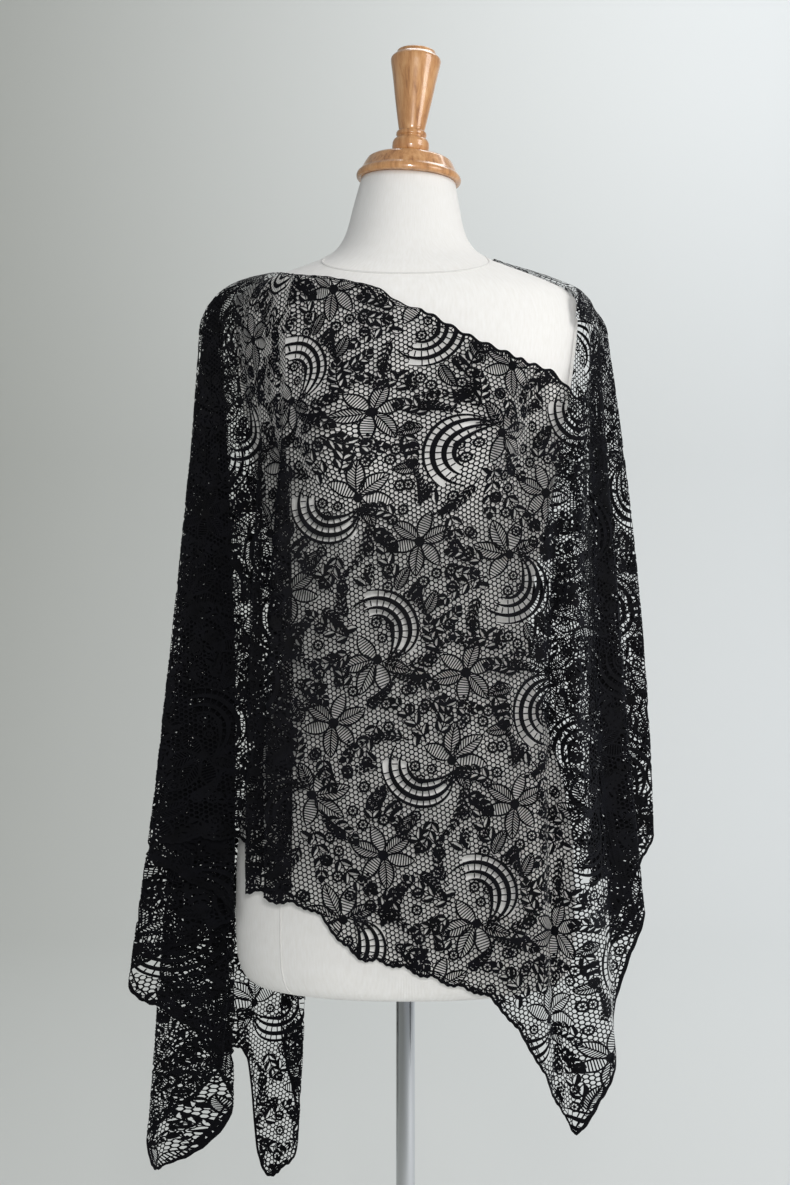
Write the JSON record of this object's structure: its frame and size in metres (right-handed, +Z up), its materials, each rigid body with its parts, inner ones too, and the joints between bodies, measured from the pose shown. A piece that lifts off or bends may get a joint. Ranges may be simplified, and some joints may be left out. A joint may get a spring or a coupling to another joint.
{
  "type": "lace shawl on a dress form",
  "caption": "Floral lace shawl worn off one shoulder, with wide folds hanging free at both sides, on a linen covered dress form with a turned wooden top and a round base.",
  "frame": {"origin": "centre of the base's underside, on the floor", "axes": "+Z up, -Y the front of the form, +X to the right of a viewer in front"},
  "size_m": [0.5296, 0.32, 1.5902],
  "materials": {
    "lace": "black stretch lace, soft sheen",
    "linen": "cream linen weave",
    "wood": "varnished honey wood",
    "chrome": "polished",
    "base_steel": "brushed"
  },
  "bodies": {
    "root": {"shawl_front": "lace", "shawl_left_drape": "lace", "shawl_back": "lace", "shawl_right_drape": "lace", "form_torso": "linen", "form_armhole_left": "linen", "form_armhole_right": "linen", "form_neck_cap": "wood", "form_finial": "wood", "form_pole": "chrome", "form_collar": "chrome", "form_base": "base_steel"}
  },
  "joints": []
}
